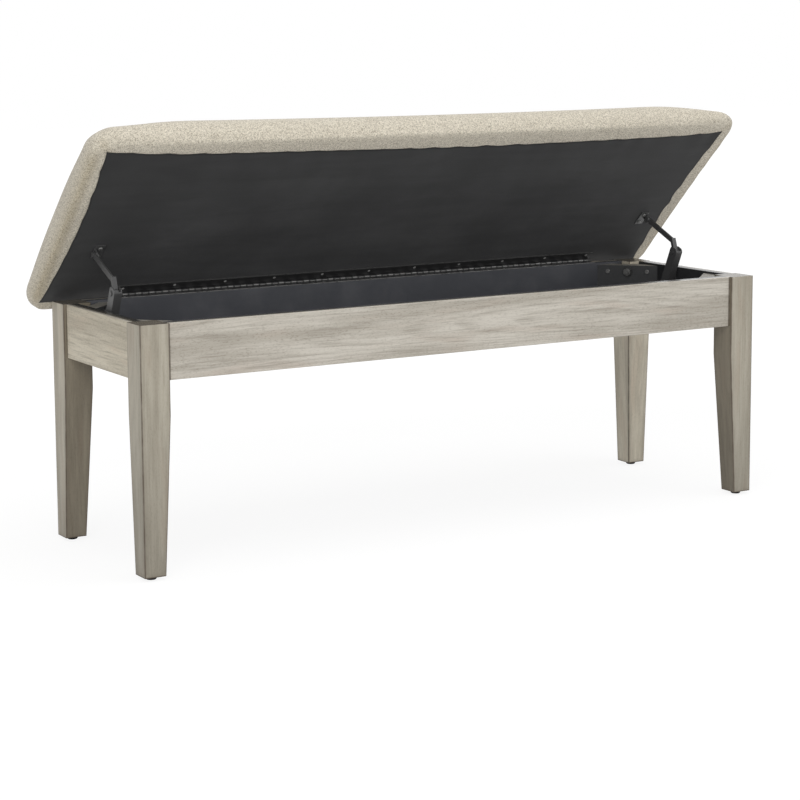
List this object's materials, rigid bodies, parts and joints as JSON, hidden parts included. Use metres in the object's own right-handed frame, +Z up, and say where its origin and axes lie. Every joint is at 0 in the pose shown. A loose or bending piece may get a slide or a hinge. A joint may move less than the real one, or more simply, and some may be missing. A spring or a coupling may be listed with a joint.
{
  "type": "storage bench",
  "caption": "Bench with an upholstered lid on a piano hinge, held open by folding stays over a storage box on tapered legs.",
  "frame": {"origin": "on the floor, at the centre of the four legs", "axes": "+X along the bench to the right as seen from the front, +Y to the back, +Z up"},
  "size_m": [1.28, 0.4158, 0.7151],
  "materials": {
    "driftwood": "grey driftwood stain with glaze lines, satin",
    "dark_block": "black stained softwood",
    "dark_panel": "blue-black painted panel",
    "board": "raw plywood",
    "foam": "polyurethane foam",
    "seat_fabric": "oatmeal tweed weave",
    "dust_cloth": "black woven dust cover",
    "glide": "black nylon",
    "steel": "zinc plated",
    "black_metal": "black oxide"
  },
  "bodies": {
    "frame": {"front_rail": "driftwood", "rear_rail": "driftwood", "left_end_rail": "driftwood", "right_end_rail": "driftwood", "front_left_leg": "driftwood", "front_right_leg": "driftwood", "rear_left_leg": "driftwood", "rear_right_leg": "driftwood", "front_left_corner_block": "dark_block", "front_right_corner_block": "dark_block", "rear_left_corner_block": "dark_block", "rear_right_corner_block": "dark_block", "hanger_bolts": "steel", "hanger_nuts": "steel", "hanger_washers": "steel", "corner_block_screws": "black_metal", "leg_glides": "glide", "floor_panel": "dark_panel", "front_floor_cleat": "dark_panel", "rear_floor_cleat": "dark_panel", "left_floor_cleat": "dark_panel", "right_floor_cleat": "dark_panel", "cleat_screws": "black_metal", "hinge_lower_leaf": "black_metal", "hinge_pin": "steel", "hinge_lower_screws": "black_metal", "stay_base_screws": "black_metal", "left_stay_base": "black_metal", "right_stay_base": "black_metal", "left_base_pin": "black_metal", "right_base_pin": "black_metal"},
    "lid": {"lid_board": "board", "seat_foam": "foam", "seat_cover": "seat_fabric", "dust_cover": "dust_cloth", "hinge_upper_leaf": "black_metal", "hinge_upper_screws": "black_metal", "lid_bracket_screws": "black_metal", "left_lid_bracket": "black_metal", "right_lid_bracket": "black_metal", "left_lid_pivot_pin": "black_metal", "right_lid_pivot_pin": "black_metal"},
    "left_stay_link": {"left_stay_link": "black_metal", "left_elbow_pin": "black_metal"},
    "left_stay_arm": {"left_stay_arm": "black_metal"},
    "right_stay_link": {"right_stay_link": "black_metal", "right_elbow_pin": "black_metal"},
    "right_stay_arm": {"right_stay_arm": "black_metal"}
  },
  "joints": [
    {"name": "lid_hinge", "type": "hinge", "parent": "frame", "child": "lid", "pos_m": [0, 0.177, 0.409], "axis": [-1, 0, 0], "range_deg": [-44, 0]},
    {"name": "left_link_pivot", "type": "hinge", "parent": "frame", "child": "left_stay_link", "pos_m": [-0.5714, 0.032, 0.3685], "axis": [-1, 0, 0], "range_deg": [-63.58, 0.1]},
    {"name": "left_arm_pivot", "type": "hinge", "parent": "lid", "child": "left_stay_arm", "pos_m": [-0.5714, 0.0847, 0.49049], "axis": [-1, 0, 0], "range_deg": [-0.1, 60.99]},
    {"name": "right_link_pivot", "type": "hinge", "parent": "frame", "child": "right_stay_link", "pos_m": [0.5714, 0.032, 0.3685], "axis": [-1, 0, 0], "range_deg": [-63.58, 0.1]},
    {"name": "right_arm_pivot", "type": "hinge", "parent": "lid", "child": "right_stay_arm", "pos_m": [0.5714, 0.0847, 0.49049], "axis": [-1, 0, 0], "range_deg": [-0.1, 60.99]}
  ],
  "couplings": [
    {"joint": "left_link_pivot", "follows": "lid_hinge", "ratio": 1.4428},
    {"joint": "left_arm_pivot", "follows": "lid_hinge", "ratio": -1.3839},
    {"joint": "right_link_pivot", "follows": "lid_hinge", "ratio": 1.4428},
    {"joint": "right_arm_pivot", "follows": "lid_hinge", "ratio": -1.3839}
  ]
}
